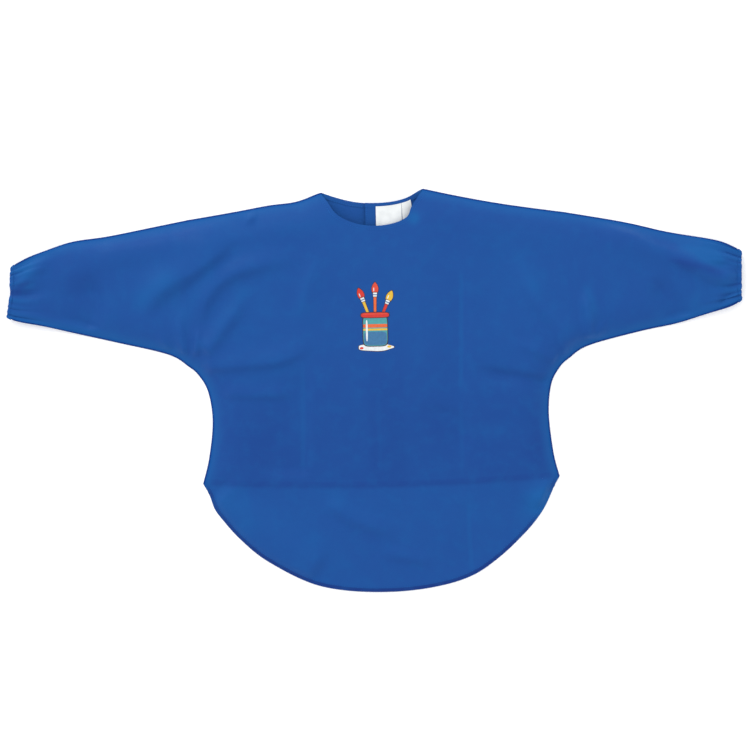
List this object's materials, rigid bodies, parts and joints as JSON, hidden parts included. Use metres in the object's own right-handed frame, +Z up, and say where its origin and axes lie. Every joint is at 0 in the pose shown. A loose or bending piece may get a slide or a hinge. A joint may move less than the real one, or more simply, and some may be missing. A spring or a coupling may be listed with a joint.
{
  "type": "artist smock apron",
  "caption": "Child's long-sleeved painting smock of thin blue nylon, laid flat front up, with elastic cuffs, a rounded apron front and a back that opens.",
  "frame": {"origin": "on the table, under the middle of the smock's outline", "axes": "+X towards the wearer's left hand, +Y towards the neck, +Z up off the table, out of the smock's front"},
  "size_m": [1.076, 0.5881, 0.0262],
  "materials": {
    "nylon": "thin plain-woven nylon with a soft sheen",
    "nylon_inside": "the same cloth, turned in and sewn",
    "elastic": "braided white elastic",
    "hook_and_loop": "matt hook and loop tape",
    "label": "white satin ribbon",
    "print": "thin screen-printed ink film in several colours"
  },
  "bodies": {
    "smock": {"front_panel": "nylon", "neck_facing_front": "nylon_inside", "chest_print": "print", "back_side_left": "nylon", "back_side_right": "nylon"},
    "sleeve_left": {"sleeve_left": "nylon", "cuff_casing_left": "nylon", "cuff_elastic_left": "elastic"},
    "sleeve_right": {"sleeve_right": "nylon", "cuff_casing_right": "nylon", "cuff_elastic_right": "elastic"},
    "apron": {"apron_front": "nylon", "apron_hem": "nylon_inside"},
    "back_right": {"back_flap_right": "nylon", "back_hem_right": "nylon_inside", "neck_facing_back_right": "nylon_inside", "placket_facing_right": "nylon_inside", "hook_tape": "hook_and_loop"},
    "back_left": {"back_flap_left": "nylon", "back_hem_left": "nylon_inside", "neck_facing_back_left": "nylon_inside", "placket_facing_left": "nylon_inside", "loop_tape": "hook_and_loop", "size_label": "label", "care_label": "label"}
  },
  "joints": [
    {"name": "sleeve_left_fold", "type": "hinge", "parent": "smock", "child": "sleeve_left", "pos_m": [0.28, 0.149, 0.0228], "axis": [0, -1, 0], "range_deg": [0, 170]},
    {"name": "sleeve_right_fold", "type": "hinge", "parent": "smock", "child": "sleeve_right", "pos_m": [-0.28, 0.149, 0.0228], "axis": [0, 1, 0], "range_deg": [0, 170]},
    {"name": "apron_fold", "type": "hinge", "parent": "smock", "child": "apron", "pos_m": [0, -0.144, 0.0137], "axis": [-1, 0, 0], "range_deg": [0, 160]},
    {"name": "back_right_open", "type": "hinge", "parent": "smock", "child": "back_right", "pos_m": [-0.0755, 0.294, 0], "axis": [0.4018, 0.9157, 0], "range_deg": [0, 170]},
    {"name": "back_left_open", "type": "hinge", "parent": "smock", "child": "back_left", "pos_m": [0.0755, 0.294, 0], "axis": [0.4018, -0.9157, 0], "range_deg": [0, 85]}
  ],
  "couplings": [
    {"joint": "back_left_open", "follows": "back_right_open", "ratio": 0.5}
  ]
}
